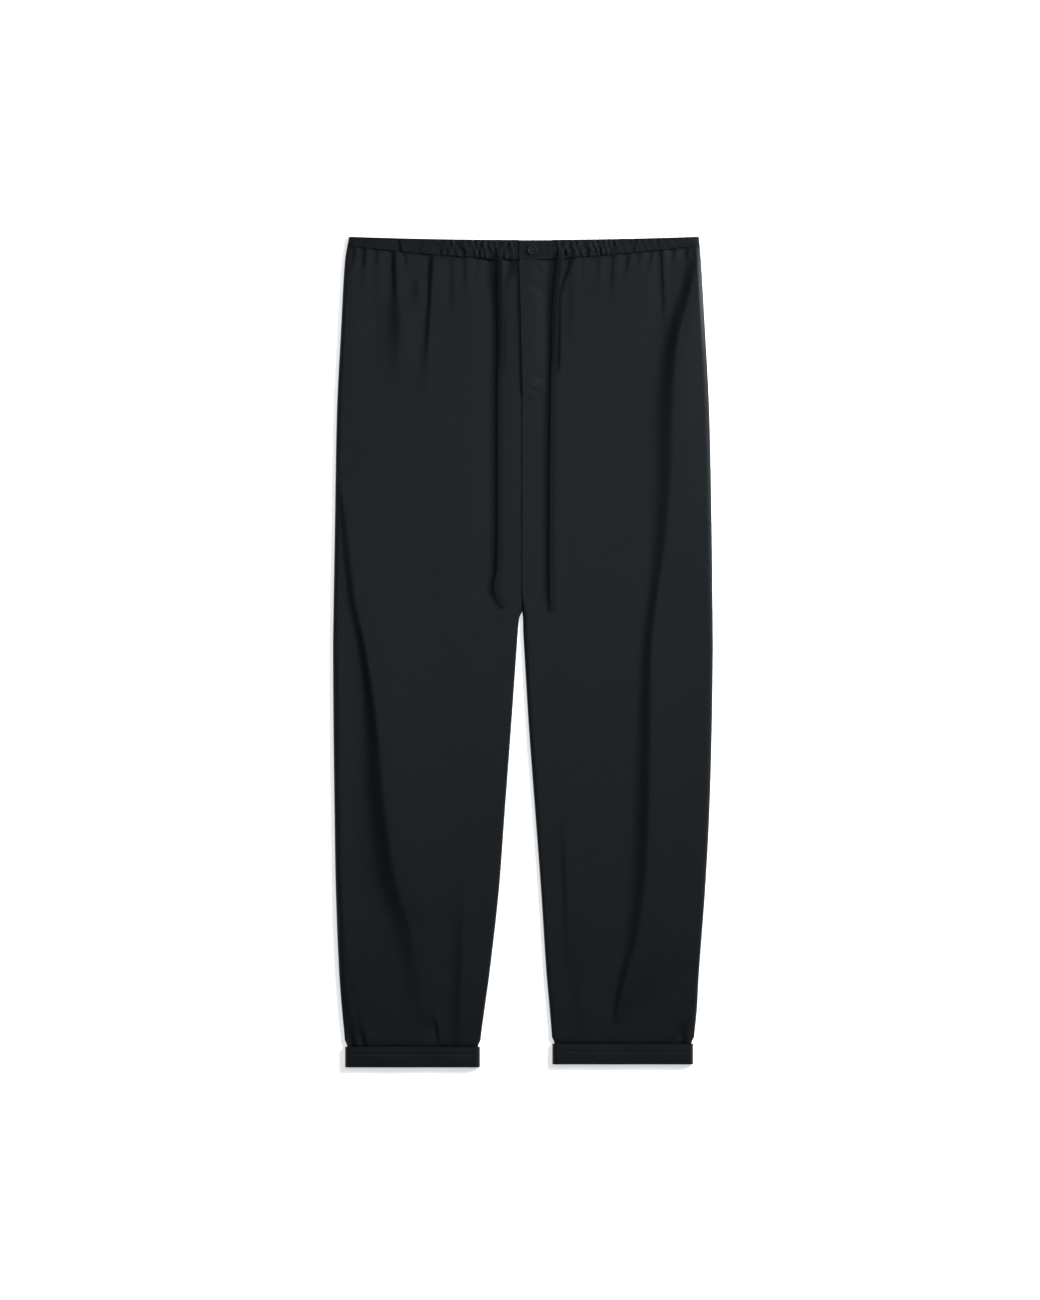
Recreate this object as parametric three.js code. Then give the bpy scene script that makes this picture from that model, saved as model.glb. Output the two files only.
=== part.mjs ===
// Straight trousers with a drawstring waist, fly flap and turn-ups, laid flat on their back.
// Millimetres. +X is the wearer's left, +Y runs to the waist and +Z up from the surface.
import * as THREE from 'three';

// Driving dimensions
const waistTop = 498;            // top edge of the waistband; the lowest turn-up is as far below zero
const cloth = 1.2;               // thickness of one layer
const seamGap = 0.3;             // left between pieces that are sewn or lie together
const crotch = 150;              // height where the inseams begin
const legsPart = 46;             // the legs touch down to here
const centreSeam = -1.2;         // x of the centre front and back seams
const crown = 2.4;               // how far the front cloth stands off the back
const hemCrown = 1.2;            // the same inside a turn-up
const edgeRoll = 14;             // width over which the front rolls down to a seam

// The waistband is an elastic casing, deepest at the centre front.
const band = {
  deep: 26, rise: 17, power: 1.5, dip: 2.4, thick: 1.9, puff: 0.6,
  backDeep: 30, overBackFrom: 16, overBackTo: 2,
};
const gathers = {
  height: 0.8, fade: 16, plain: 2.5, margin: 9,
  frontWaves: 22, rightBandWaves: 22, leftBandWaves: 19, backWaves: 45,
};
const tab = { left: 34.5, right: -5.1, thick: 2.7 };

// The fly flap opens on the wearer's right edge and curves in at its lower left.
const fly = {
  bottom: 296.4, right: -1.2, lean: -4.2, width: 32, spread: 7, curve: 30, rows: 12, columns: 6,
  puckers: [{ x: 16, y: 425 }, { x: 15, y: 320 }], pucker: 0.6, spot: 9,
};
const button = { x: 10.8, y: 482.4, radius: 6, thick: 1.5, bevel: 0.4, hole: 0.6, holeRing: 1.9 };
const string = { halfWidth: 4, halfThick: 1.1, sides: 8, steps: 26 };
// The turn-ups. Inside them a leg is drawn in by tuck at each edge, and it rises over lift above them.
const turnUp = {
  height: 24.6, leftHigher: 3.6, tuck: 2.6, tuckFrom: 2, tuckTo: 10, lift: 40,
  roll: 6, foldRadius: 1.8, pastFold: 0.8, lipClear: 2,
};
// Heights of a panel's lowest rows above the lower edge of its turn-up.
const hemRows = [2, 18.6, 26.6, 43.6];

// One row for each height: x of the side seams and of the inseams, or the centre seam above them.
const outline = [
  { y: 498, rightSide: -208.8, rightInner: -1.35, leftInner: -1.05, leftSide: 211.2 },
  { y: 470, rightSide: -213.6, rightInner: -1.35, leftInner: -1.05, leftSide: 213.6 },
  { y: 386, rightSide: -218.4, rightInner: -1.35, leftInner: -1.05, leftSide: 218.6 },
  { y: 290, rightSide: -223.2, rightInner: -1.35, leftInner: -1.05, leftSide: 223.6 },
  { y: 146, rightSide: -225.8, rightInner: -1.35, leftInner: -1.05, leftSide: 226.6 },
  { y: 46, rightSide: -227.4, rightInner: -1.8, leftInner: -0.9, leftSide: 227.7 },
  { y: 24, rightSide: -227.8, rightInner: -6.1, leftInner: 0.2, leftSide: 227.9 },
  { y: 2, rightSide: -228, rightInner: -7.6, leftInner: 1.4, leftSide: 228 },
  { y: -94, rightSide: -227.4, rightInner: -14.4, leftInner: 7.2, leftSide: 226.6 },
  { y: -190, rightSide: -226.2, rightInner: -21.6, leftInner: 14.4, leftSide: 223.8 },
  { y: -286, rightSide: -224.6, rightInner: -28.8, leftInner: 21.6, leftSide: 218.6 },
  { y: -382, rightSide: -220.8, rightInner: -39.6, leftInner: 27.8, leftSide: 211.4 },
  { y: -430, rightSide: -217.2, rightInner: -46.2, leftInner: 32, leftSide: 208.6 },
  { y: -466, rightSide: -213.8, rightInner: -50.8, leftInner: 34.8, leftSide: 205 },
  { y: -498, rightSide: -213.4, rightInner: -51.6, leftInner: 35.2, leftSide: 204 },
];

// Spare cloth laps over in one long fold down each leg. A row gives the foot of the fold: from there
// the cloth stands up at once on the wearer's left, and falls away beyond.
const folds = {
  right: [
    { y: 470, foot: -170, height: 0 },
    { y: 290, foot: -198, height: 0 },
    { y: 200, foot: -219, height: 0.4 },
    { y: 116, foot: -212.4, height: 1.8 },
    { y: 14, foot: -196.8, height: 3.4 },
    { y: -106, foot: -180, height: 4.8 },
    { y: -226, foot: -168, height: 5.2 },
    { y: -301, foot: -153.6, height: 4.6 },
    { y: -372, foot: -138, height: 2.8 },
    { y: -436, foot: -130, height: 0 },
  ],
  left: [
    { y: 470, foot: 198, height: 0.4 },
    { y: 403, foot: 177.6, height: 2.8 },
    { y: 277, foot: 170.4, height: 3.8 },
    { y: 110, foot: 165.6, height: 3.2 },
    { y: -10, foot: 146.4, height: 4.2 },
    { y: -142, foot: 141.6, height: 5.2 },
    { y: -260, foot: 136.8, height: 5.4 },
    { y: -338, foot: 128.4, height: 4.4 },
    { y: -404, foot: 114, height: 2 },
    { y: -442, foot: 106, height: 0 },
  ],
};
const fold = { steep: 7, reach: 65, dip: 0.7, dipAt: 5, dipWidth: 6 };

// Tucks that fall from the waistband, and soft troughs beside the inseams.
const tucks = [
  { x: -154.8, lean: 0, length: 150, depth: 1.3, width: 5 },
  { x: -111.6, lean: 5, length: 130, depth: 1.4, width: 5 },
  { x: -62, lean: 0, length: 30, depth: 1, width: 6 },
  { x: 86.4, lean: -2, length: 46, depth: 1.1, width: 5 },
  { x: 105.6, lean: 0, length: 44, depth: 1, width: 5 },
  { x: 127.2, lean: -3, length: 26, depth: 1, width: 4 },
  { x: 165, lean: 5, length: 84, depth: 1.4, width: 5 },
];
const troughs = [
  { x: -76, top: -310, bottom: -446, depth: 1, width: 9 },
  { x: 49, top: -190, bottom: -412, depth: 1, width: 9 },
];

// Where the rows of a front and a back lie, as drops below the waistband's lower edge.
const frontDrops = [0, 5, 12, 24, 44, 76, 120, 172, 220, 268, 319, 360, 400, 424, 446, 492, 548,
  604, 660, 714, 764, 810, 850, 884, 908];
const backDrops = [0, 6, 16, 44, 110, 200, 319, 400, 424, 446, 540, 660, 780, 860, 908];
const gatheredRows = 3;
// Fractions across: from the side seam to the foot of the fold, and from there to the inner edge.
const outerStations = [0, 0.06, 0.2, 0.4, 0.6, 0.8, 0.92];
const panelStations = [0, 0.05, 0.14, 0.3, 0.46, 0.62, 0.78, 0.9, 0.97, 1];
const backStations = [0, 0.04, 0.16, 0.36, 0.6, 0.82, 0.96, 1];
const turnUpStations = [0, 0.006, 0.02, 0.045, 0.1, 0.25, 0.5, 0.75, 0.9, 0.955, 0.98, 0.994, 1];

// Drawstrings, from where they leave the waistband to their cut ends.
const stringRoutes = {
  right: [
    [-27.4, 482, 8.9], [-27.6, 474, 8.9], [-27.7, 464, 8.7], [-27.4, 446, 7.7], [-27.2, 420, 6.9],
    [-27, 386, 6.7], [-26.8, 330, 6.6], [-26.9, 270, 6.6], [-27, 210, 6.6], [-27, 160, 6.6],
    [-27.4, 124, 6.6], [-28.4, 98, 6.6], [-31, 84, 6.6], [-31.4, 74, 6.6], [-27.6, 62, 6.6],
    [-21.8, 54, 6.6],
  ],
  left: [
    [45.8, 484, 8.9], [45.4, 476, 8.9], [43.4, 464, 8.7], [40.8, 446, 7.7], [38.6, 424, 6.9],
    [37.6, 390, 6.7], [37.2, 350, 6.6], [36.4, 300, 6.6], [35.6, 240, 6.6], [35, 180, 6.6],
    [34.8, 120, 6.6], [35, 80, 6.6], [35.4, 49, 6.6],
  ],
};

// The cloth is a dark charcoal satin.
const satin = { color: 0x23272a, roughness: 0.55, metalness: 0 };
const ribbon = { color: 0x14181b, roughness: 0.7, metalness: 0 };
const horn = { color: 0x1a1c1f, roughness: 0.35, metalness: 0 };

const { clamp, lerp, smoothstep } = THREE.MathUtils;

// A quarter circle from 0 at an edge to 1 at a distance of one.
function quarter(distance) {
  const inside = 1 - clamp(distance, 0, 1);
  return Math.sqrt(1 - inside * inside);
}

function bell(offset, width) {
  return Math.exp(-((offset / width) ** 2));
}

// One named column of a table at a height, on a smooth curve through the rows, whose y falls.
function columnAt(table, column, y) {
  const last = table.length - 1;
  const found = table.findIndex((row) => row.y <= y);
  const below = found < 0 ? last : Math.max(found, 1);
  const [low, high] = [table[below], table[below - 1]];
  const slope = (index) => {
    const before = table[Math.max(index - 1, 0)];
    const after = table[Math.min(index + 1, last)];
    return (before[column] - after[column]) / (before.y - after.y);
  };
  const span = high.y - low.y;
  const s = clamp((y - low.y) / span, 0, 1);
  const bow = span * s * (1 - s) * ((1 - s) * slope(below) - s * slope(below - 1));
  return lerp(low[column], high[column], s * s * (3 - 2 * s)) + bow;
}

const backBandLower = waistTop - band.backDeep;

function bandLower(x) {
  return waistTop - band.dip - band.deep + band.rise * Math.abs(x / outline[0].leftSide) ** band.power;
}

function bandUpper(x) {
  return waistTop - band.dip * (1 - Math.abs(x / outline[0].leftSide) ** 2);
}

function sideX(leg, y) {
  return columnAt(outline, `${leg}Side`, y);
}

function innerX(leg, y) {
  return columnAt(outline, `${leg}Inner`, y);
}

function hemOf(leg) {
  return leg === 'right' ? -waistTop : turnUp.leftHigher - waistTop;
}

// How far the back is lifted by the turn-up that lies under it.
function hemLift(leg, y) {
  const top = hemOf(leg) + turnUp.height;
  return (cloth + seamGap) * (1 - smoothstep(y, top, top + turnUp.lift));
}

// 0 above the crotch, where a leg's inner edge is the centre seam, and 1 where it is the inseam.
function inseamShare(y) {
  return 1 - smoothstep(y, legsPart, crotch);
}

// Width lost at each edge inside the turn-up.
function tuckAt(leg, y) {
  const top = hemOf(leg) + turnUp.height;
  return turnUp.tuck * (1 - smoothstep(y, top + turnUp.tuckFrom, top + turnUp.tuckTo));
}

// Level of the seam at a leg's rolled edges: just above the back panel, or the back waistband higher up.
function seamLevel(leg, y) {
  const overBack = smoothstep(y, backBandLower - band.overBackFrom, backBandLower - band.overBackTo);
  return lerp(cloth, band.thick, overBack) + seamGap + hemLift(leg, y);
}

// Level of the front cloth's inner face away from the edges.
function plateauLevel(leg, y) {
  const top = hemOf(leg) + turnUp.height;
  return cloth + seamGap + hemLift(leg, y) + lerp(hemCrown, crown, smoothstep(y, top, top + turnUp.lift));
}

// Folds, tucks and troughs of the front cloth, zero at its edges.
function frontFolds(leg, x, y) {
  const side = sideX(leg, y);
  const foot = columnAt(folds[leg], 'foot', y);
  const height = Math.max(columnAt(folds[leg], 'height', y), 0);
  const reach = leg === 'right' ? fold.reach : side - foot;
  let rise = height * smoothstep(x - foot, 0, fold.steep) * (1 - smoothstep(x - foot, fold.steep, reach));
  rise -= fold.dip * Math.min(height / 2, 1) * bell(x - foot + fold.dipAt, fold.dipWidth);
  const drop = bandLower(x) - y;
  for (const tuck of tucks) {
    const fade = 1 - smoothstep(drop, 0, tuck.length);
    rise -= tuck.depth * fade * bell(x - tuck.x - tuck.lean * (drop / tuck.length), tuck.width);
  }
  for (const trough of troughs) {
    const along = clamp((trough.top - y) / (trough.top - trough.bottom), 0, 1);
    rise -= trough.depth * Math.sin(Math.PI * along) ** 2 * bell(x - trough.x, trough.width);
  }
  const fromInner = Math.abs(x - innerX(leg, y)) + edgeRoll * (1 - inseamShare(y));
  const edge = Math.min(Math.abs(x - side), fromInner);
  return rise * smoothstep(edge, 0, edgeRoll);
}

// Ripples that the elastic draws up, none at the side seams or by the fly's flat tab.
function ripple(x, y, across, waves, toTab = Math.max(tab.right - x, x - tab.left)) {
  const toSide = Math.min(x - sideX('right', y), sideX('left', y) - x);
  const margin = smoothstep(Math.min(toTab, toSide), gathers.plain, gathers.margin);
  return gathers.height * margin * (0.5 - 0.5 * Math.cos(2 * Math.PI * waves * across));
}

// Height of the front cloth. depth is 0 on its outer face and the cloth's thickness on its inner one.
function frontHeight(leg, x, y, across, depth) {
  const sign = leg === 'right' ? 1 : -1;
  const inset = tuckAt(leg, y);
  const fromSide = sign * (x - sideX(leg, y)) - inset - depth;
  const closed = inseamShare(y);
  const fromInner = sign * (innerX(leg, y) - x) - inset - depth * closed;
  const atInner = lerp(1, quarter(fromInner / (edgeRoll - depth)), closed);
  const roll = quarter(fromSide / (edgeRoll - depth)) * atInner;
  const drop = bandLower(x) - y;
  const fade = Math.exp(-drop / gathers.fade);
  const seam = seamLevel(leg, y);
  const wave = fade * ripple(x, y, across, gathers.frontWaves);
  return seam + (plateauLevel(leg, y) - seam + cloth - depth) * roll + frontFolds(leg, x, y) + wave;
}

// Joins rows of point pairs into one closed wall. Each row runs to +X, and each next row lies at +Y.
function wall(rows) {
  const positions = [];
  const triangles = [];
  const starts = [];
  for (const row of rows) {
    starts.push(positions.length / 6);
    for (const pair of row) positions.push(...pair.under, ...pair.over);
  }
  const under = (row, column) => 2 * (starts[row] + column);
  const over = (row, column) => under(row, column) + 1;
  const face = (a, b, c) => {
    triangles.push(over(...a), over(...b), over(...c));
    triangles.push(under(...a), under(...c), under(...b));
  };
  const rim = (a, b) => {
    triangles.push(under(...a), under(...b), over(...b), under(...a), over(...b), over(...a));
  };
  for (let r = 0; r + 1 < rows.length; r += 1) {
    const [near, far] = [rows[r], rows[r + 1]];
    let [i, j] = [0, 0];
    while (i + 1 < near.length || j + 1 < far.length) {
      const nextNear = i + 1 < near.length ? near[i + 1].across : Infinity;
      const nextFar = j + 1 < far.length ? far[j + 1].across : Infinity;
      if (nextNear <= nextFar) {
        face([r, i], [r, i + 1], [r + 1, j]);
        i += 1;
      } else {
        face([r, i], [r + 1, j + 1], [r + 1, j]);
        j += 1;
      }
    }
    rim([r + 1, 0], [r, 0]);
    rim([r, near.length - 1], [r + 1, far.length - 1]);
  }
  for (let i = 0; i + 1 < rows[0].length; i += 1) rim([0, i], [0, i + 1]);
  const top = rows.length - 1;
  for (let i = 0; i + 1 < rows[top].length; i += 1) rim([top, i + 1], [top, i]);
  const geometry = new THREE.BufferGeometry();
  geometry.setAttribute('position', new THREE.Float32BufferAttribute(positions, 3));
  geometry.setIndex(triangles);
  geometry.computeVertexNormals();
  return geometry;
}

function evenSteps(count) {
  return Array.from({ length: count + 1 }, (_, k) => k / count);
}

// Fractions across a row, from -X to +X, with one column on the foot of the fold.
function frontStations(leg, y) {
  const side = sideX(leg, y);
  const share = (columnAt(folds[leg], 'foot', y) - side) / (innerX(leg, y) - side);
  const fromSide = [...outerStations.map((f) => f * share), ...panelStations.map((f) => lerp(share, 1, f))];
  return leg === 'right' ? fromSide : fromSide.map((f) => 1 - f).reverse();
}

// The two edges of a leg at a height, from -X to +X.
function edges(leg, y) {
  return leg === 'right' ? [sideX(leg, y), innerX(leg, y)] : [innerX(leg, y), sideX(leg, y)];
}

// The heights of a panel's rows from the hem up: four by the turn-up, then drops below the waistband.
function rowHeights(leg, drops, waistEdge) {
  const fromWaist = drops.map((drop) => waistEdge - seamGap - drop).reverse();
  return [...hemRows.map((up) => hemOf(leg) + up), ...fromWaist];
}

// The inner and outer points of the front cloth at a place across. Its rolled edges stand on the seam.
function frontPair(leg, across, y) {
  const [left, right] = edges(leg, y);
  const tuck = tuckAt(leg, y);
  const open = cloth * inseamShare(y);
  const [atLeft, atRight] = leg === 'right' ? [cloth, open] : [open, cloth];
  const outerX = lerp(left + tuck, right - tuck, across);
  const innerFaceX = lerp(left + tuck + atLeft, right - tuck - atRight, across);
  return {
    across,
    under: [innerFaceX, y, frontHeight(leg, innerFaceX, y, across, cloth)],
    over: [outerX, y, frontHeight(leg, outerX, y, across, 0)],
  };
}

function frontPanel(leg) {
  const [left, right] = edges(leg, waistTop);
  const middles = rowHeights(leg, frontDrops, bandLower((left + right) / 2));
  return wall(middles.map((middle, r) => {
    const gathered = r >= middles.length - gatheredRows;
    const stations = gathered ? evenSteps(2 * gathers.frontWaves) : frontStations(leg, middle);
    return stations.map((across) => {
      const waistEdge = bandLower(lerp(left, right, across));
      return frontPair(leg, across, rowHeights(leg, frontDrops, waistEdge)[r]);
    });
  }));
}

function backPanel(leg) {
  const heights = rowHeights(leg, backDrops, backBandLower);
  return wall(heights.map((y, r) => {
    const gathered = r >= heights.length - gatheredRows;
    const stations = gathered ? evenSteps(2 * gathers.frontWaves) : backStations;
    const [left, right] = edges(leg, y);
    const tuck = tuckAt(leg, y);
    const fade = Math.exp((y - backBandLower) / gathers.fade);
    return stations.map((across) => {
      const x = lerp(left + tuck, right - tuck, across);
      const z = hemLift(leg, y) + fade * ripple(x, y, across, gathers.frontWaves, Infinity);
      return { across, under: [x, y, z], over: [x, y, z + cloth] };
    });
  }));
}

// One side of the front waistband, from its side seam to the flat tab.
function frontBand(leg, waves) {
  const seam = band.thick + seamGap;
  const plateau = cloth + seamGap + crown - seam;
  const sign = leg === 'right' ? 1 : -1;
  const tabEdge = leg === 'right' ? tab.right - seamGap : tab.left + seamGap;
  return wall([0, 0.5, 1].map((up) => evenSteps(2 * waves).map((across) => {
    const point = (depth) => {
      const fromSide = leg === 'right' ? across : 1 - across;
      const side = sideX(leg, waistTop);
      const guess = lerp(side, tabEdge, fromSide);
      const y = lerp(bandLower(guess), bandUpper(guess), up);
      const x = lerp(sideX(leg, y) + sign * depth, tabEdge, fromSide);
      const roll = quarter((sign * (x - sideX(leg, y)) - depth) / (edgeRoll - depth));
      const puff = band.puff * Math.sin(Math.PI * up) * roll;
      return [x, y, seam + (plateau + band.thick - depth) * roll + puff + ripple(x, y, across, waves)];
    };
    return { across, under: point(band.thick), over: point(0) };
  })));
}

function backBand() {
  return wall([0, 0.5, 1].map((up) => evenSteps(2 * gathers.backWaves).map((across) => {
    const y = lerp(backBandLower, waistTop, up);
    const x = lerp(sideX('right', y), sideX('left', y), across);
    const z = ripple(x, y, across, gathers.backWaves, Infinity);
    return { across, under: [x, y, z], over: [x, y, z + band.thick] };
  })));
}

// The flat end of the waistband that buttons over the fly.
function waistTab() {
  const z = cloth + seamGap + crown;
  return wall([0, 1].map((up) => evenSteps(4).map((across) => {
    const x = lerp(tab.right, tab.left, across);
    const y = lerp(bandLower(x), bandUpper(x), up);
    return { across, under: [x, y, z], over: [x, y, z + tab.thick] };
  })));
}

// The flap lies on the front cloth, its foot curved, with a soft pucker over each hidden button.
function flyFlap() {
  return wall(evenSteps(fly.rows).map((up) => evenSteps(fly.columns).map((across) => {
    const x = fly.right + fly.lean * up + (fly.width + fly.spread * up) * across;
    const foot = fly.bottom + fly.curve * (1 - Math.sqrt(1 - across * across));
    const y = lerp(foot, bandLower(x) - seamGap, up);
    const z = frontHeight(x < centreSeam ? 'right' : 'left', x, y, 0, 0) + seamGap;
    const pucker = fly.puckers.reduce((sum, at) => sum + bell(Math.hypot(x - at.x, y - at.y), fly.spot), 0);
    const lift = fly.pucker * pucker;
    return { across, under: [x, y, z + lift], over: [x, y, z + cloth + lift] };
  })));
}

function waistButton() {
  const { radius, thick, bevel, hole, holeRing } = button;
  const disc = new THREE.Shape(ring(radius - bevel, 20));
  for (let k = 0; k < 4; k += 1) {
    const angle = (k + 0.5) * (Math.PI / 2);
    const centre = new THREE.Vector2(holeRing * Math.cos(angle), holeRing * Math.sin(angle));
    disc.holes.push(new THREE.Path(ring(hole + bevel, 8).map((point) => point.add(centre)).reverse()));
  }
  const settings = { depth: thick, bevelThickness: bevel, bevelSize: bevel, bevelSegments: 1 };
  return new THREE.ExtrudeGeometry(disc, settings);
}

function ring(radius, sides) {
  return Array.from({ length: sides }, (_, k) => {
    const angle = (2 * Math.PI * k) / sides;
    return new THREE.Vector2(radius * Math.cos(angle), radius * Math.sin(angle));
  });
}

function drawstring(route) {
  const path = new THREE.CatmullRomCurve3(route.map((point) => new THREE.Vector3(...point)));
  const { sides, steps, halfThick, halfWidth } = string;
  const flat = ring(1, sides).map((p) => new THREE.Vector2(p.x * halfThick, p.y * halfWidth));
  return new THREE.ExtrudeGeometry(new THREE.Shape(flat), { steps, extrudePath: path });
}

// Rows of a turn-up's section, from inside its lower fold up to its free edge.
const foldRows = [
  { angle: Math.PI / 2, past: turnUp.pastFold },
  { angle: Math.PI / 2, past: 0 },
  { angle: Math.PI / 4, past: 0 },
  { angle: 0, past: 0 },
];

// The front half wraps over the leg and round its sides; the back half lies flat under it.
function turnUpHalf(leg, half) {
  const hem = hemOf(leg);
  const seam = cloth + seamGap;
  const plateau = seam + hemCrown + cloth + seamGap;
  const [left, right] = edges(leg, hem);
  const pair = (across, { angle, past }, up) => {
    const point = (depth) => {
      const x = half === 'front' ? lerp(left + depth, right - depth, across) : lerp(left, right, across);
      const radius = turnUp.foldRadius - depth;
      const y = hem + up + (angle === undefined ? 0 : turnUp.foldRadius - radius * Math.sin(angle));
      const bend = angle === undefined ? 0 : radius * (1 - Math.cos(angle)) + past;
      const fromEdge = Math.min(x - left, right - x) - depth;
      if (half === 'back') {
        return [x, y, depth + bend * clamp((fromEdge + depth) / turnUp.lipClear - 1, 0, 1)];
      }
      const roll = quarter(fromEdge / (turnUp.roll - depth));
      return [x, y, seam + (plateau + cloth - depth - bend) * roll];
    };
    const [inner, outer] = [point(cloth), point(0)];
    return half === 'front' ? { across, under: inner, over: outer } : { across, under: outer, over: inner };
  };
  const rows = foldRows.map((row) => turnUpStations.map((across) => pair(across, row, 0)));
  rows.push(turnUpStations.map((across) => pair(across, {}, turnUp.height)));
  return wall(rows);
}

const group = new THREE.Group();

function add(name, geometry, finish) {
  const mesh = new THREE.Mesh(geometry, new THREE.MeshStandardMaterial(finish));
  mesh.name = name;
  group.add(mesh);
  return mesh;
}

for (const leg of ['right', 'left']) {
  add(`front_${leg}`, frontPanel(leg), satin);
  add(`back_${leg}`, backPanel(leg), satin);
  add(`turn_up_front_${leg}`, turnUpHalf(leg, 'front'), satin);
  add(`turn_up_back_${leg}`, turnUpHalf(leg, 'back'), satin);
  add(`drawstring_${leg}`, drawstring(stringRoutes[leg]), ribbon);
}
add('waistband_front_right', frontBand('right', gathers.rightBandWaves), satin);
add('waistband_front_left', frontBand('left', gathers.leftBandWaves), satin);
add('waistband_back', backBand(), satin);
add('waistband_tab', waistTab(), satin);
add('fly_flap', flyFlap(), satin);
const buttonLevel = cloth + seamGap + crown + tab.thick + seamGap + button.bevel;
add('waist_button', waistButton(), horn).position.set(button.x, button.y, buttonLevel);

export default group;
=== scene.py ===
import math

import bmesh
import bpy
import numpy as np
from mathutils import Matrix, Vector


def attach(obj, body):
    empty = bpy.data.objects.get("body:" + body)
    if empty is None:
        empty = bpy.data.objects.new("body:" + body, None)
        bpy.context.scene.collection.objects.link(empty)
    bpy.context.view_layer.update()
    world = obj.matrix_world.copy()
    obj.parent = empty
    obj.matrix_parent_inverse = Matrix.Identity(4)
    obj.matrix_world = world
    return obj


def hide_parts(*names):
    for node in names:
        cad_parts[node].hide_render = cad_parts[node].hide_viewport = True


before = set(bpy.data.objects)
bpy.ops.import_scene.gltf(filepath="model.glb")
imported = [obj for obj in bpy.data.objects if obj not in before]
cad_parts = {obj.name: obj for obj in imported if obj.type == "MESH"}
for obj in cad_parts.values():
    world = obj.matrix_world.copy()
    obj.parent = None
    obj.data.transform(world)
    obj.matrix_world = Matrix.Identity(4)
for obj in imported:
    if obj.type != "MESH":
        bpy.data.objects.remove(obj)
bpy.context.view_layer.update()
scene = bpy.context.scene
mm = 0.001  # the tables are in millimetres, the meshes in metres

# Straight trousers with a drawstring waist, laid flat on their back.
# +X is the wearer's left, +Y runs to the waist and +Z up from the floor.

photoView = {"distance": 4.0, "longSide": 1.56, "centreX": -0.0036, "centreY": 0.0024, "sensor": 36, "clipEnd": 30}

cameraData = bpy.data.cameras.new("photoCamera")
cameraData.sensor_width = photoView["sensor"]
cameraData.lens = photoView["sensor"] * photoView["distance"] / photoView["longSide"]
cameraData.clip_end = photoView["clipEnd"]
camera = bpy.data.objects.new("photoCamera", cameraData)
camera.location = (photoView["centreX"], photoView["centreY"], photoView["distance"])
scene.collection.objects.link(camera)
scene.camera = camera


def table(columns, *rows):
    # rows of values under named columns
    return [dict(zip(columns.split(), row)) for row in rows]


cut = {
    "waistTop": 498, "crotch": 76, "legsPart": 40, "leftHemHigher": 3.6, "turnUp": 24.6, "aboveHem": 2,
    "cloth": 0.7, "gap": 0.1, "seamLevel": 1.35, "frontLevel": 5.1, "frontAtHem": 4.3, "backAtHem": 0.9,
    "edgeRoll": 6.5, "hemTuck": 2.6, "tuckFrom": 1, "tuckTo": 9, "hemRise": 40,
}

# x of the side seams and of the inseams at each height, or of the centre seam above them
outline = table(
    "y rightSide rightInner leftInner leftSide",
    (498, -208.8, -1.45, -0.95, 211.2),
    (470, -213.6, -1.45, -0.95, 213.6),
    (386, -218.4, -1.45, -0.95, 218.6),
    (290, -223.2, -1.45, -0.95, 223.6),
    (146, -225.8, -1.45, -0.95, 226.6),
    (62, -227.2, -1.45, -0.95, 227.5),
    (48, -227.4, -1.6, -0.9, 227.7),
    (42, -227.5, -4.2, -0.2, 227.75),
    (24, -227.8, -6.1, 0.2, 227.9),
    (2, -228, -7.6, 1.4, 228),
    (-94, -227.4, -14.4, 7.2, 226.6),
    (-190, -226.2, -21.6, 14.4, 223.8),
    (-286, -224.6, -28.8, 21.6, 218.6),
    (-382, -220.8, -39.6, 27.8, 211.4),
    (-430, -217.2, -46.2, 32, 208.6),
    (-466, -213.8, -50.8, 34.8, 205),
    (-498, -213.4, -51.6, 35.2, 204),
)

band = {
    "deep": 26, "rise": 17, "power": 1.5, "dip": 2.4, "topDip": 3.9, "level": 5.8, "edge": 2.4,
    "backDeep": 30, "backThick": 1.5,
}

inward = {"right": 1, "left": -1}  # the way from a leg's side seam to its inseam


def smooth(value, low, high):
    share = np.clip((value - low) / (high - low), 0, 1)
    return share * share * (3 - 2 * share)


def quarterRound(distance):
    # from 0 at an edge to 1 at a distance of one, as a quarter circle
    return np.sqrt(1 - (1 - np.clip(distance, 0, 1)) ** 2)


def bell(offset, width):
    return np.exp(-((offset / width) ** 2))


def swing(turns):
    # from 0 up to 1 and back with each whole turn
    return 0.5 - 0.5 * np.cos(2 * math.pi * turns)


def readColumn(rows, column, y):
    # one named column at a height, on a smooth curve through the rows, whose y falls
    heights = np.array([row["y"] for row in rows], float)[::-1]
    values = np.array([row[column] for row in rows], float)[::-1]
    slopes = np.gradient(values)
    slopes /= np.gradient(heights)
    k = np.clip(np.searchsorted(heights, y, side="right") - 1, 0, len(heights) - 2)
    span = heights[k + 1] - heights[k]
    s = np.clip((y - heights[k]) / span, 0, 1)
    bow = span * s * (1 - s) * ((1 - s) * slopes[k] - s * slopes[k + 1])
    return values[k] + (values[k + 1] - values[k]) * s * s * (3 - 2 * s) + bow


def sideX(leg, y):
    return readColumn(outline, leg + "Side", y)


def innerX(leg, y):
    return readColumn(outline, leg + "Inner", y)


def inOrder(leg, side, inner):
    # a leg's two edges from the wearer's right to the left
    return (side, inner) if leg == "right" else (inner, side)


def edgesOf(leg, y):
    return inOrder(leg, sideX(leg, y), innerX(leg, y))


def bandLower(x):
    across = np.abs(x / outline[0]["leftSide"])
    return cut["waistTop"] - band["dip"] - band["deep"] + band["rise"] * across ** band["power"]


def bandUpper(x):
    return cut["waistTop"] - band["topDip"] * (1 - np.abs(x / outline[0]["leftSide"]) ** 2)


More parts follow.
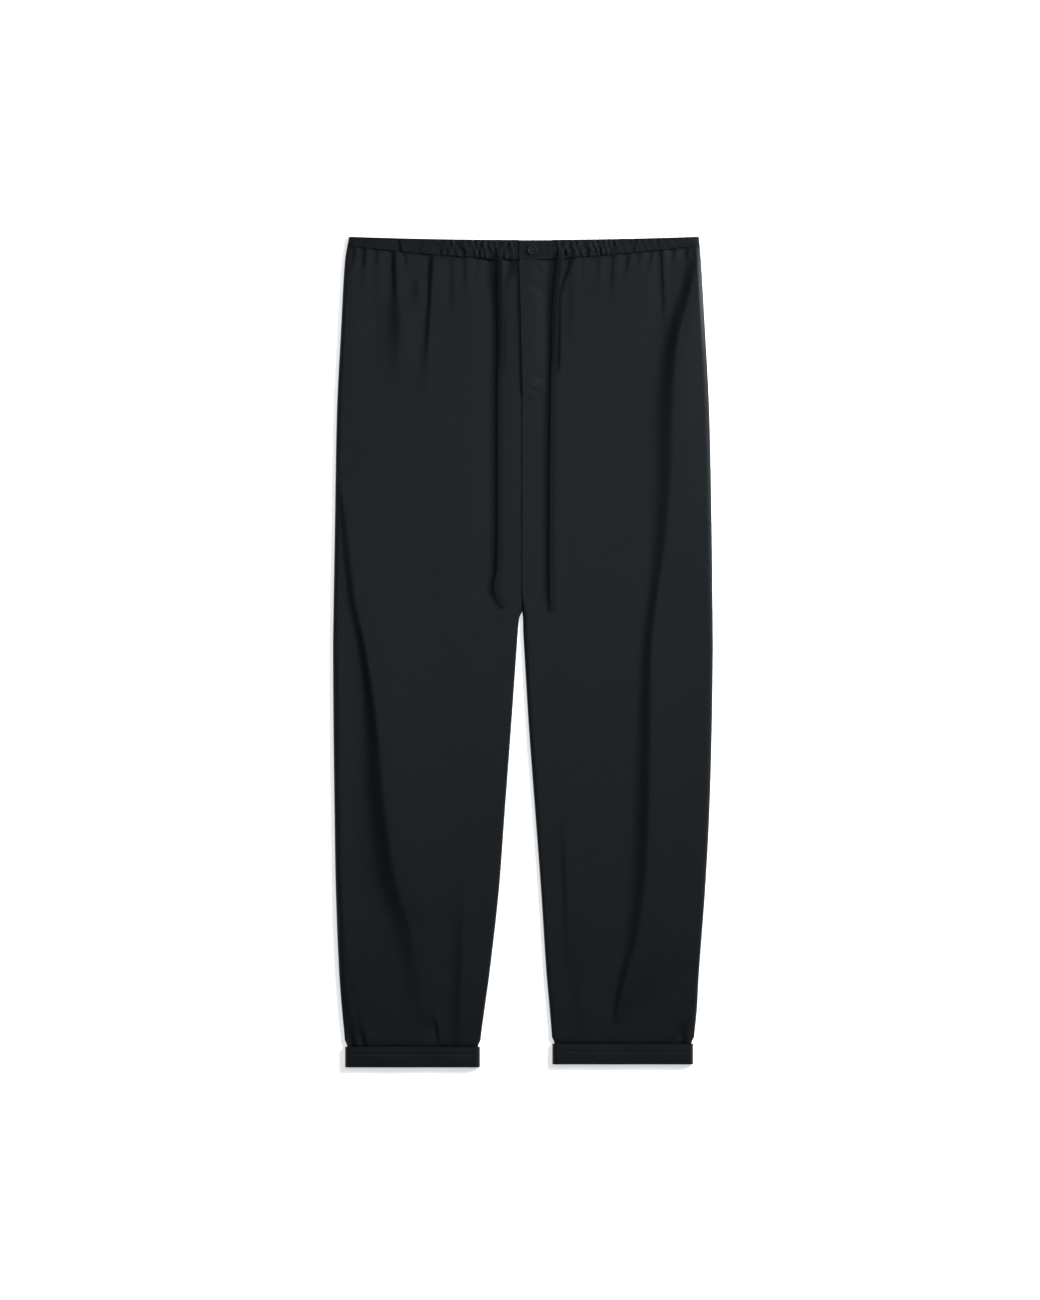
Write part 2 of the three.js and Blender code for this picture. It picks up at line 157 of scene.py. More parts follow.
def hemOf(leg):
    return -cut["waistTop"] + (cut["leftHemHigher"] if leg == "left" else 0)


def cuffTop(leg):
    return hemOf(leg) + cut["turnUp"]


def hemTuck(leg, y):
    # how far a leg's edges draw in to lie inside its turn-up
    return cut["hemTuck"] * (1 - smooth(y, cuffTop(leg) + cut["tuckFrom"], cuffTop(leg) + cut["tuckTo"]))


def nearHem(leg, y):
    return 1 - smooth(y, cuffTop(leg), cuffTop(leg) + cut["hemRise"])


def legsApart(y):
    return 1 - smooth(y, cut["legsPart"], cut["crotch"])


def meshFrom(bm, name):
    mesh = bpy.data.meshes.new(name)
    bm.to_mesh(mesh)
    bm.free()
    return mesh


def addObject(name, data):
    made = bpy.data.objects.new(name, data)
    scene.collection.objects.link(made)
    return made


def withModifiers(piece):
    # the mesh that the object's modifiers work out
    return bpy.data.meshes.new_from_object(piece.evaluated_get(bpy.context.evaluated_depsgraph_get()))


def clothMesh(name, columns, rows, place, facing=1):
    # a grid whose points are placed by how far across and how far up they are
    half = 0.5
    bm = bmesh.new()
    bmesh.ops.create_grid(bm, x_segments=columns, y_segments=rows, size=half)
    if facing < 0:
        bmesh.ops.reverse_faces(bm, faces=bm.faces)
    mesh = meshFrom(bm, name)
    points = np.empty(len(mesh.vertices) * 3)
    mesh.vertices.foreach_get("co", points)
    points = points.reshape(-1, 3)
    placed = np.stack(place(points[:, 0] + half, points[:, 1] + half), axis=1) * mm
    mesh.vertices.foreach_set("co", placed.ravel())
    mesh.update()
    return mesh


def addPiece(name, mesh, material, nodes, thick=0.0, sharp=50):
    # thick closes a one-sided sheet into a shell on its inner side
    piece = addObject(name, mesh)
    if thick:
        shell = piece.modifiers.new("clothThickness", "SOLIDIFY")
        shell.thickness = thick * mm
        shell.offset = -1
        shell.use_even_offset = True
        closed = withModifiers(piece)
        piece.modifiers.clear()
        piece.data = closed
        closed.name = name
    piece.data.shade_smooth()
    piece.data.set_sharp_from_angle(angle=math.radians(sharp))
    piece.data.materials.clear()
    piece.data.materials.append(material)
    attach(piece, "root")
    if nodes:
        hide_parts(*nodes)
    return piece


# dark blue-grey satin: hardly any colour of its own, and a soft cool gloss
looks = table(
    "name dark light rough specular",
    ("satin", (0.0043, 0.0053, 0.0064), (0.0056, 0.0068, 0.0080), 0.5, 0.36),
    # the waistband's copy of the satin is painted darker than the legs': painted shade for its gathers
    ("bandSatin", (0.0039, 0.0048, 0.0058), (0.0052, 0.0063, 0.0074), 0.52, 0.28),
    # the turn-ups' copy of the satin is painted lighter and greyer than the legs': painted light
    ("turnUpSatin", (0.0053, 0.0058, 0.0064), (0.0067, 0.0073, 0.0079), 0.5, 0.34),
    ("thread", (0.0036, 0.0044, 0.0053), (0.0050, 0.0060, 0.0070), 0.6, 0.2),
    ("ribbon", (0.0039, 0.0047, 0.0056), (0.0054, 0.0064, 0.0075), 0.56, 0.3),
)
weave = {
    "glossTint": (0.82, 0.93, 1.0, 1.0), "sheen": 0.02, "sheenRough": 0.4, "roughSpread": 0.05,
    "twillPitch": 0.0007, "twillLean": 62, "twillHeight": 0.00006, "weftShare": 0.45, "weftFiner": 1.3,
    "slub": 0.00004, "slubShare": 0.45, "patchShare": 0.55,
    "chevronRise": 0.012, "chevronHalf": 0.125, "tapePitch": 0.0011, "tapeHeight": 0.0001, "fluff": 0.00005,
}


def fillNode(tree, node, inputs):
    # each input is linked to a socket or given a value of its own
    for key, value in inputs.items():
        if isinstance(value, bpy.types.NodeSocket):
            tree.links.new(value, node.inputs[key])
        else:
            node.inputs[key].default_value = value


def addNode(tree, kind, output, inputs=None, **settings):
    # makes a node and returns one of its outputs
    node = tree.nodes.new("ShaderNode" + kind)
    for key, value in settings.items():
        setattr(node, key, value)
    fillNode(tree, node, inputs or {})
    return node.outputs[output]


def addMaths(tree, operation, *values):
    return addNode(tree, "Math", 0, dict(enumerate(values)), operation=operation)


def addBump(tree, inputs):
    return addNode(tree, "Bump", "Normal", inputs)


def addRamp(tree, factor, *stops):
    ramp = tree.nodes.new("ShaderNodeValToRGB")
    for element, (position, colour) in zip(ramp.color_ramp.elements, stops):
        element.position = position
        element.color = (*colour, 1)
    fillNode(tree, ramp, {"Fac": factor})
    return ramp.outputs["Color"]


def newMaterial(name):
    material = bpy.data.materials.new(name)
    material.use_nodes = True
    return material, material.node_tree


def setSurface(tree, inputs):
    fillNode(tree, tree.nodes["Principled BSDF"], inputs)


def satinMaterial(look):
    material, tree = newMaterial(look["name"])
    place = addNode(tree, "TexCoord", "Object")

    # fine twill: slanting ribs crossed by the weft
    fineness = 2 * math.pi / 20 / weave["twillPitch"]
    lean = addNode(tree, "Mapping", "Vector", {"Vector": place, "Rotation": (0, 0, math.radians(weave["twillLean"]))})
    ribs = addNode(tree, "TexWave", "Fac",
                   {"Vector": lean, "Scale": fineness, "Distortion": 1.2, "Detail": 1.0, "Detail Scale": 2.0},
                   wave_type="BANDS", bands_direction="X", wave_profile="SIN")
    weft = addNode(tree, "TexWave", "Fac",
                   {"Vector": place, "Scale": fineness * weave["weftFiner"], "Distortion": 0.8, "Detail": 1.0},
                   wave_type="BANDS", bands_direction="Y", wave_profile="SIN")
    crossed = addMaths(tree, "MULTIPLY_ADD", weft, weave["weftShare"], ribs)

    # slubs run along the leg
    stretch = addNode(tree, "Mapping", "Vector", {"Vector": place, "Scale": (1.0, 0.06, 1.0)})
    slub = addNode(tree, "TexNoise", "Fac", {"Vector": stretch, "Scale": 700.0, "Detail": 2.0, "Roughness": 0.6})

    # broad soft patches where the nap has been brushed one way or the other
    patches = addNode(tree, "TexNoise", "Fac", {"Vector": place, "Scale": 9.0, "Detail": 4.0, "Roughness": 0.55})
    patchy = addMaths(tree, "MULTIPLY", patches, weave["patchShare"])
    blend = addMaths(tree, "MULTIPLY_ADD", slub, weave["slubShare"], patchy)
    smoothest, roughest = look["rough"] - weave["roughSpread"], look["rough"] + weave["roughSpread"]
    spread = addNode(tree, "MapRange", "Result", {"Value": patches, "To Min": smoothest, "To Max": roughest})
    threads = addBump(tree, {"Strength": 0.5, "Distance": weave["twillHeight"], "Height": crossed})
    uneven = addBump(tree, {"Strength": 0.4, "Distance": weave["slub"], "Height": slub, "Normal": threads})
    setSurface(tree, {
        "Base Color": addRamp(tree, blend, (0.3, look["dark"]), (0.7, look["light"])),
        "Roughness": spread, "Normal": uneven,
        "Specular IOR Level": look["specular"], "Specular Tint": weave["glossTint"],
        "Sheen Weight": weave["sheen"], "Sheen Roughness": weave["sheenRough"],
    })
    return material


def ribbonMaterial(look):
    # a flat woven tape: chevron of fine threads that follows its length
    material, tree = newMaterial(look["name"])
    along = addNode(tree, "UVMap", "UV", uv_map="alongTape")
    across, down = (addNode(tree, "SeparateXYZ", axis, {"Vector": along}) for axis in "XY")
    mirrored = addMaths(tree, "PINGPONG", across, weave["chevronHalf"])
    slanted = addMaths(tree, "MULTIPLY_ADD", mirrored, weave["chevronRise"], down)
    turned = addMaths(tree, "MULTIPLY", slanted, 2 * math.pi / weave["tapePitch"])
    threads = addMaths(tree, "SINE", turned)
    place = addNode(tree, "TexCoord", "Object")
    fluff = addNode(tree, "TexNoise", "Fac", {"Vector": place, "Scale": 900.0, "Detail": 2.0})
    bump = addBump(tree, {"Strength": 0.6, "Distance": weave["tapeHeight"], "Height": threads})
    fine = addBump(tree, {"Strength": 0.3, "Distance": weave["fluff"], "Height": fluff, "Normal": bump})
    setSurface(tree, {
        "Base Color": addRamp(tree, fluff, (0.35, look["dark"]), (0.65, look["light"])),
        "Roughness": look["rough"], "Normal": fine, "Specular IOR Level": look["specular"],
        "Specular Tint": weave["glossTint"], "Sheen Weight": weave["sheen"],
    })
    return material


def hornMaterial():
    # dark moulded button with faint streaks, its roughness varying along them
    material, tree = newMaterial("horn")
    place = addNode(tree, "TexCoord", "Object")
    stretch = addNode(tree, "Mapping", "Vector", {"Vector": place, "Scale": (1.0, 0.2, 1.0)})
    streaks = addNode(tree, "TexNoise", "Fac", {"Vector": stretch, "Scale": 450.0, "Detail": 4.0, "Distortion": 0.6})
    setSurface(tree, {
        "Base Color": addRamp(tree, streaks, (0.35, (0.005, 0.006, 0.007)), (0.7, (0.009, 0.010, 0.012))),
        "Roughness": addNode(tree, "MapRange", "Result", {"Value": streaks, "To Min": 0.36, "To Max": 0.5}),
        "Normal": addBump(tree, {"Strength": 0.2, "Distance": 0.00004, "Height": streaks}),
        "Specular IOR Level": 0.42, "Specular Tint": weave["glossTint"],
    })
    return material


satin, bandSatin, turnUpSatin, thread = (satinMaterial(look) for look in looks[:4])
ribbon = ribbonMaterial(looks[4])
horn = hornMaterial()
print("stage: finishes made")

# drawstrings: flat woven tapes, cut square at their ends
drawstring = {
    "halfWidth": 3.7, "halfThick": 0.8, "sides": 16, "step": 2.0, "samples": 40,
    "squareAcross": 0.55, "squareUp": 0.75,  # lower powers make the section squarer
    "lean": 18, "leanFrom": 318, "leanFull": 372, "leanEnds": 468, "leanGone": 482, "leanLift": 0.6,
    "right": [
        (-27.4, 484, 5.9), (-27.5, 479, 8.0), (-27.6, 473, 8.9), (-27.7, 464, 8.7), (-27.4, 446, 7.7),
        (-27.2, 420, 6.9), (-27, 386, 6.7), (-26.8, 330, 6.6), (-26.9, 270, 6.6), (-27, 210, 6.6), (-27, 160, 6.6),
        (-27.4, 124, 6.6), (-28.4, 98, 6.6), (-31, 84, 6.6), (-31.4, 74, 6.6), (-27.6, 62, 6.6), (-21.8, 54, 6.6),
    ],
    "left": [
        (46.2, 486, 5.9), (45.8, 481, 8.0), (45.2, 475, 8.9), (43.4, 464, 8.7), (40.8, 446, 7.7), (38.6, 424, 6.9),
        (37.6, 390, 6.7), (37.2, 350, 6.6), (36.4, 300, 6.6), (35.6, 240, 6.6), (35, 180, 6.6), (34.8, 120, 6.6),
        (35, 80, 6.6), (35.4, 49, 6.6),
    ],
}


def walkedAlong(points):
    # the distance from the first point to each
    return np.concatenate([[0], np.cumsum(np.linalg.norm(np.diff(points, axis=0), axis=1))])


def smoothRoute(route, step):
    # evenly spaced points on a smooth curve through the route
    points = np.array(route, float)
    padded = np.vstack([2 * points[0] - points[1], points, 2 * points[-1] - points[-2]])
    dense = []
    for k in range(len(points) - 1):
        a, b, c, d = padded[k:k + 4]
        for t in np.linspace(0, 1, drawstring["samples"], endpoint=False):
            dense.append(0.5 * (2 * b + (c - a) * t + (2 * a - 5 * b + 4 * c - d) * t ** 2
                                + (3 * b - a - 3 * c + d) * t ** 3))
    dense = np.array(dense + [points[-1]])
    walked = walkedAlong(dense)
    stops = np.linspace(0, walked[-1], int(walked[-1] / step) + 1)
    return np.stack([np.interp(stops, walked, dense[:, axis]) for axis in range(3)], axis=1), stops


def makeDrawstring(leg):
    route, stops = smoothRoute(drawstring[leg], drawstring["step"])
    ahead = np.gradient(route, axis=0)
    leaning = smooth(route[:, 1], drawstring["leanFrom"], drawstring["leanFull"])
    leaning = leaning * (1 - smooth(route[:, 1], drawstring["leanEnds"], drawstring["leanGone"]))
    bm = bmesh.new()
    around = bm.verts.layers.float.new("around")  # in turns from the tape's underside
    along = bm.verts.layers.float.new("along")
    bmesh.ops.create_circle(bm, segments=drawstring["sides"], radius=1, cap_ends=True)
    bm.verts.ensure_lookup_table()
    for vertex in bm.verts:
        vertex[around] = (math.atan2(vertex.co.y, vertex.co.x) / (2 * math.pi) + 1.25) % 1
    ring = list(bm.verts)

    def setRing(ring, k):
        tangent = Vector(ahead[k]).normalized()
        across = tangent.cross(Vector((0, 0, 1))).normalized()
        upward = across.cross(tangent).normalized()
        lean = float(leaning[k])
        slope = math.sin(math.radians(drawstring["lean"]) * lean)  # the top of the tape turns from the light
        for vertex in ring:
            angle = 2 * math.pi * (vertex[around] - 0.25)
            c, s = math.cos(angle), math.sin(angle)
            wide = math.copysign(abs(c) ** drawstring["squareAcross"], c) * drawstring["halfWidth"]
            deep = math.copysign(abs(s) ** drawstring["squareUp"], s) * drawstring["halfThick"]
            deep = deep - wide * slope + drawstring["leanLift"] * lean
            vertex.co = (Vector(route[k]) + across * wide + upward * deep) * mm
            vertex[along] = stops[k] * mm

    setRing(ring, 0)
    edges = list(bm.edges)
    for k in range(1, len(route)):
        made = bmesh.ops.extrude_edge_only(bm, edges=edges)["geom"]
        ring = [item for item in made if isinstance(item, bmesh.types.BMVert)]
        edges = [item for item in made if isinstance(item, bmesh.types.BMEdge)]
        edges = [edge for edge in edges if all(vertex in ring for vertex in edge.verts)]
        setRing(ring, k)
    bmesh.ops.contextual_create(bm, geom=edges)
    bmesh.ops.recalc_face_normals(bm, faces=bm.faces)
    uvMap = bm.loops.layers.uv.new("alongTape")
    for face in bm.faces:
        turn = [loop.vert[around] for loop in face.loops]
        wraps = max(turn) - min(turn) > 0.5
        for loop, value in zip(face.loops, turn):
            loop[uvMap].uv = (value + (1 if wraps and value < 0.5 else 0), loop.vert[along])
    mesh = meshFrom(bm, "drawstring_" + leg)
    tape = addPiece("drawstring_tape_" + leg, mesh, ribbon, ["drawstring_" + leg], sharp=60)


for leg in ["right", "left"]:
    makeDrawstring(leg)
print("stage: drawstrings laid")

# Folds of the front cloth. Each sinks a little, climbs ever steeper over its flank to its crest,
# then falls away softly on the wearer's left. height is the whole climb.
longFolds = {
    "right": table(
        "y crest height flank fall",
        (470, -236, 0, 3, 40),
        (230, -226, 0, 3, 40),
        (206, -220.6, 1.6, 4, 44),
        (149, -213.4, 2.5, 7.5, 48),
        (116, -209.8, 3.0, 9, 50),
        (62, -203, 3.4, 10, 56),
        (14, -192.6, 4.0, 10.5, 60),
        (-45.6, -182.6, 5.8, 14, 60),
        (-105.6, -175.2, 6.6, 23, 58),
        (-153.6, -172.2, 7.2, 28, 56),
        (-225.6, -163.2, 7.2, 31, 54),
        (-262.8, -158, 6.6, 32, 52),
        (-301, -147.6, 5.4, 33, 50),
        (-328.8, -139, 4.0, 31, 46),
        (-372, -131.4, 2.8, 29, 40),
        (-414, -126, 1.6, 25, 36),
        (-446, -122, 0, 22, 30),
    ),
    "left": table(
        "y crest height flank fall",
        (486, 209, 2.4, 14, 26),
        (474, 208, 4.6, 18, 26),
        (440, 201, 6.6, 21, 28),
        (403, 190, 8.4, 25, 30),
        (366, 182, 9.4, 27, 29),
        (320, 178.4, 9.4, 32, 31),
        (271, 176.6, 9.2, 36, 32),
        (216, 175.6, 8.4, 34, 34),
        (122, 167.8, 6.8, 26, 40),
        (60, 158.4, 5.6, 19, 46),
        (-2, 152.2, 6.4, 21, 42),
        (-111.6, 150.6, 7.6, 27, 42),
        (-230, 147.6, 7.6, 27, 42),
        (-293, 142.8, 6.8, 25, 44),
        (-355, 132.4, 5.6, 20, 50),
        (-386, 123.2, 4.8, 15, 38),
        (-418, 114.8, 3.5, 10, 18),
        (-432, 111, 2.3, 7, 9),
        (-445, 108, 0, 5, 7),
    ),
}
# Tucks and creases: each runs from its top down to its foot. start is its share of the height at the top.
creaseColumns = "x y footX footY height flank fall start"
creases = table(
    creaseColumns,
    (-201, 480, -203, 458, 1.3, 4, 5, 1),
    (-189, 480, -191, 454, 1.5, 4, 5, 1),
    (-175, 479, -176, 460, 1.0, 4, 5, 1),
    (-154.5, 480, -153, 408, 2.7, 4.2, 9, 1),
    (-150, 462, -149, 296, 4.4, 25, 16, 0),
    (-141, 479, -138, 458, 1.8, 4, 5, 1),
    (-127, 458, -124, 396, 2.6, 12, 8, 0),
    (-109, 478, -117, 332, 3.1, 4.4, 12, 1),
    (-112, 420, -119, 280, 1.6, 14, 18, 0),
    (-84, 476, -83, 380, 1.6, 8, 9, 0.7),
    (-68, 475, -69, 420, 1.3, 5, 7, 1),
    (-53, 474, -54, 440, 1.2, 4, 6, 1),
    (-38, 474, -34, 390, 2.0, 8, 8, 1),
    (-8, 474, -9, 440, 2.4, 10, 4, 1),
    (63, 474, 53, 310, 1.9, 13, 6, 0.7),
    (74, 475, 72, 436, 1.2, 5, 6, 1),
    (92, 476, 90, 430, 1.8, 6, 7, 0.8),
    (109, 477, 107, 412, 1.9, 6, 8, 0.8),
    (128, 478, 122, 440, 2.3, 4.6, 7, 1),
    (141, 479, 140, 458, 1.3, 4, 5, 1),
    (155, 480, 151, 448, 2.1, 4.4, 6, 1),
    (166.5, 481, 171, 372, 3.0, 4.4, 8, 1),
    (182, 481, 181, 462, 1.6, 4, 4, 1),
    (197, 482, 197, 466, 1.4, 4, 4, 1),
    (-70, -230, -84, -640, 2.8, 17, 15, 0),
    (-106, -430, -97, -486, 2.0, 6.5, 12, 0),
    (47, -160, 56, -440, 1.7, 9, 16, 0),
    (66, -330, 72, -560, 1.0, 12, 14, 0),
    (-205, -448, -196, -494, 3.6, 7, 6, 0.3),
    (-194, -444, -184, -490, 2.8, 6, 9, 0.2),
    (199, -442, 190, -492, 4.0, 8, 5, 0.3),
    (190, -456, 172, -490, 2.6, 6, 5, 0.3),
    (90, 300, 78, 60, 0.5, 30, 34, 0),
    (-110, 240, -96, -40, 0.5, 28, 36, 0),
    (100, -60, 108, -300, 0.6, 22, 26, 0),
    (-100, -120, -106, -380, 0.6, 24, 30, 0),
)
gathering = {
    "tabRight": -5, "tabLeft": 34, "clear": 2, "full": 9,
    "height": 0.3, "pitch": 8.6, "reach": 5, "longReach": 16,
    "streak": 0.5, "streakPitch": 21, "streakReach": 80, "streakFull": 20,
    "puff": 0.55, "puffAt": 9, "puffWidth": 8, "bite": 0.9, "biteAtTab": 0.2, "biteReach": 3.2,
}
# a soft ridge down the wearer's right side seam
edgeRidge = {"from": 60, "to": -440, "fade": 120, "at": 9, "height": 1.5, "width": 9}
# share of a climb that lies below the cloth's level. The right long fold loses its share above the knee
sunk = {"longFold": 0.3, "crease": 0.6, "bed": 1.0, "back": 0.0, "fadeFrom": -20, "fadeTo": 130}
tapeBeds = {
    "right": {"height": 2.9, "flank": 5.2, "farHeight": 0.8},
    "left": {"height": 2.7, "flank": 4.6, "farHeight": 1.9},
    "beside": 3.6, "fall": 12, "footBelow": 4, "footAbove": 26,
    "farBeside": 6.4, "farFlank": 4, "farFrom": 325, "farFull": 350, "spread": 8, "spreadFrom": 425, "spreadFull": 476,
}
lapShape = {"rounding": 0.12, "dipReach": 24, "steepening": 1.7, "startEnds": 0.4, "fadeFrom": 0.35}
centreSeam = {"right": {"deep": 0.4, "width": 1.1}, "left": {"deep": -0.65, "width": 3.4}}
cuffSwell = {"height": 0.2, "at": 9, "width": 7, "sink": 1.3, "sinkFrom": 2, "sinkEnds": 4}


def lap(offset, height, flank, fall, below):
    dip = height * below
    rounded = 1 + lapShape["rounding"] * flank  # the crest is soft, not a knife edge
    before = -dip * bell(offset + flank, np.minimum(fall, lapShape["dipReach"]))
    share = np.clip((offset + flank) / (flank + rounded), 0, 1) ** lapShape["steepening"]
    climb = height * smooth(share, 0, 1) - dip
    after = (height - dip) * bell(offset - rounded, fall)
    return np.select([offset < -flank, offset < rounded], [before, climb], after)


def creaseRise(rows, x, y, below):
    rise = np.zeros_like(x)
    for row in rows:
        run = (row["y"] - y) / (row["y"] - row["footY"])
        line = row["x"] + (row["footX"] - row["x"]) * run
        share = np.clip(run, 0, 1)
        fade = row["start"] + (1 - row["start"]) * smooth(share, 0, lapShape["startEnds"])
        fade = fade * (1 - smooth(share, lapShape["fadeFrom"], 1))
        rise += lap(x - line, row["height"], row["flank"], row["fall"], below) * fade
    return rise


def unevenness(x, y):
    # slight hand-laid waviness, the same each time
    broad = np.sin(x / 37 + 1.3 * np.sin(y / 71)) * np.sin(y / 93 + 0.7 + np.sin(x / 61))
    small = np.sin(x / 11.3 + 1.9 * np.sin(y / 23.7)) * np.sin(y / 19.1 + 1.4 * np.sin(x / 17.9))
    return 0.26 * broad + 0.04 * small


def gatherWave(x):
    # irregular small pleats that the elastic draws up
    return swing(x / gathering["pitch"] + 0.42 * np.sin(x / 21.7 + 0.6) + 0.25 * np.sin(x / 9.1))


def tapeBed(leg, x, y):
    # the cloth dips beside the hanging tape
    bed = tapeBeds[leg]
    route = np.array(drawstring[leg][::-1])
    foot = route[0, 1]
    fromTape = x - np.interp(y, route[:, 1], route[:, 0])
    farEdge = tapeBeds["farBeside"] + tapeBeds["spread"] * smooth(y, tapeBeds["spreadFrom"], tapeBeds["spreadFull"])
    near = lap(fromTape + tapeBeds["beside"], bed["height"], bed["flank"], tapeBeds["fall"], sunk["bed"])
    far = lap(fromTape - farEdge, bed["farHeight"], tapeBeds["farFlank"], tapeBeds["fall"], sunk["crease"])
    near = near * smooth(y, foot - tapeBeds["footBelow"], foot + tapeBeds["footAbove"])
    return near + far * smooth(y, tapeBeds["farFrom"], tapeBeds["farFull"])


def frontFolds(leg, x, y):
    crest, height, flank, fall = (readColumn(longFolds[leg], key, y) for key in ["crest", "height", "flank", "fall"])
    below = sunk["longFold"] * (1 - smooth(y, sunk["fadeFrom"], sunk["fadeTo"]) if leg == "right" else 1)
    rise = lap(x - crest, np.maximum(height, 0), np.maximum(flank, 2), np.maximum(fall, 4), below)
    return rise + creaseRise(creases, x, y, sunk["crease"]) + tapeBed(leg, x, y)


def sideRidge(fromSide, y):
    reaches = smooth(edgeRidge["from"] - y, 0, edgeRidge["fade"])
    reaches = reaches * smooth(y, edgeRidge["to"], edgeRidge["to"] + edgeRidge["fade"])
    return reaches * edgeRidge["height"] * bell(fromSide - edgeRidge["at"], edgeRidge["width"])


def fromTab(x):
    return np.maximum(gathering["tabRight"] - x, x - gathering["tabLeft"])


def gathersBelow(x, y):
    # small pleats, long faint streaks and a soft swelling below the waistband
    drop = bandLower(x) - y
    clear = smooth(fromTab(x), gathering["clear"], gathering["full"])
    reach = gathering["reach"] + gathering["longReach"] * (0.5 + 0.5 * np.sin(x / 13.7 + 2)) ** 3
    pleats = gathering["height"] * gatherWave(x) * np.exp(-np.maximum(drop, 0) / reach)
    puff = gathering["puff"] * bell(drop - gathering["puffAt"], gathering["puffWidth"])
    streaks = swing(x / gathering["streakPitch"] + 0.5 * np.sin(x / 33) + 0.16 * np.sin(y / 31))
    streaks = gathering["streak"] * streaks * bell(drop, gathering["streakReach"])
    streaks = streaks * smooth(fromTab(x), gathering["clear"], gathering["streakFull"])
    return (pleats + puff * (0.75 + 0.25 * np.sin(x / 17))) * clear + streaks


def seamBite(x, y):
    # the cloth turns down into the waistband's seam, unevenly along it
    bitten = 0.3 + 0.7 * np.sin(x / 6.3 + 1.7 * np.sin(x / 17)) ** 2
    deep = gathering["biteAtTab"] + gathering["bite"] * smooth(fromTab(x), -3, 5) * bitten
    return deep * (1 - smooth(bandLower(x) - y, 0, gathering["biteReach"]))


def frontSurface(leg, x, y, seamed=1.0):
    # level of the front cloth's outer face
    cuff = cuffTop(leg)
    apart = legsApart(y)
    atHem = nearHem(leg, y)
    tuck = hemTuck(leg, y)
    fromSide = inward[leg] * (x - sideX(leg, y)) - tuck
    fromInner = inward[leg] * (innerX(leg, y) - x) - tuck
    atInner = 1 - apart * (1 - quarterRound(fromInner / cut["edgeRoll"]))
    roll = quarterRound(fromSide / cut["edgeRoll"]) * atInner
    plateau = cut["frontLevel"] + (cut["frontAtHem"] - cut["frontLevel"]) * atHem
    seam = cut["seamLevel"] + cut["backAtHem"] * atHem
    within = smooth(np.minimum(fromSide, fromInner + cut["edgeRoll"] * (1 - apart)), 0, cut["edgeRoll"])
    folds = frontFolds(leg, x, y) + gathersBelow(x, y) - seamBite(x, y) + unevenness(x, y)
    if leg == "right":
        folds = folds + sideRidge(fromSide, y)
    folds = folds + cuffSwell["height"] * bell(y - cuff - cuffSwell["at"], cuffSwell["width"])
    folds = folds - cuffSwell["sink"] * (1 - smooth(y, cuff - cuffSwell["sinkFrom"], cuff + cuffSwell["sinkEnds"]))
    # at the centre front seam the wearer's left side stands a little over the right
    groove = centreSeam[leg]["deep"] * bell(fromInner, centreSeam[leg]["width"])
    return seam + (plateau - seam) * roll + folds * within - seamed * (1 - apart) * groove


frontGrid = {
    "edgeSteps": [0, 0.0006, 0.0022, 0.005, 0.009, 0.0145, 0.021, 0.029, 0.038], "middle": 122,
    "foldColumn": {"right": 40, "left": 96}, "foldLow": 0.05, "foldHigh": 0.93, "smileReach": 90,
    "fine": 1.1, "fineTo": 60, "medium": 2.1, "mediumTo": 180, "coarse": 4.0, "foot": 60, "footRows": 36,
}


def stations(settings):
    edge = np.array(settings["edgeSteps"])
    middle = np.linspace(2 * edge[-1] - edge[-2], 1 - 2 * edge[-1] + edge[-2], settings["middle"])
    return np.concatenate([edge, middle, 1 - edge[::-1]])


def fromEven(values, even):
    # a value for each even step of a grid
    return np.interp(even, np.linspace(0, 1, len(values)), values)


def alongFold(leg, y, share, atFold):
    # moves the columns over so that one of them always runs along the long fold's crest
    left, right = edgesOf(leg, y)
    crest = (readColumn(longFolds[leg], "crest", y) - left) / (right - left)
    crest = np.clip(crest, frontGrid["foldLow"], frontGrid["foldHigh"])
    return np.where(share < atFold, share * crest / atFold, 1 - (1 - share) * (1 - crest) / (1 - atFold))


def makeFront(leg):
    across = stations(frontGrid)
    atFold = across[frontGrid["foldColumn"][leg]]
    total = bandLower(0) - hemOf(leg) - cut["aboveHem"]
    toFoot = total - frontGrid["foot"]
    drops = np.concatenate([
        np.arange(0, frontGrid["fineTo"], frontGrid["fine"]),
        np.arange(frontGrid["fineTo"], frontGrid["mediumTo"], frontGrid["medium"]),
        np.arange(frontGrid["mediumTo"], toFoot, frontGrid["coarse"]),
        np.linspace(toFoot, total, frontGrid["footRows"]),
    ])[::-1]

    def place(u, v):
        drop = fromEven(drops, v)
        middle = bandLower(0) - drop
        left, right = edgesOf(leg, middle)
        share = alongFold(leg, middle, fromEven(across, u), atFold)
        x = left + (right - left) * share
        near = np.exp(-drop / frontGrid["smileReach"])  # the top rows follow the waistband's smile
        y = middle + (bandLower(x) - bandLower(0)) * near - cut["gap"]
        left, right = edgesOf(leg, y)
        tuck = hemTuck(leg, y)
        x = left + tuck + (right - left - 2 * tuck) * share
        return x, y, frontSurface(leg, x, y)

    mesh = clothMesh("front_" + leg, len(across) - 1, len(drops) - 1, place)
    panel = addPiece("front_panel_" + leg, mesh, satin, ["front_" + leg], thick=cut["cloth"])


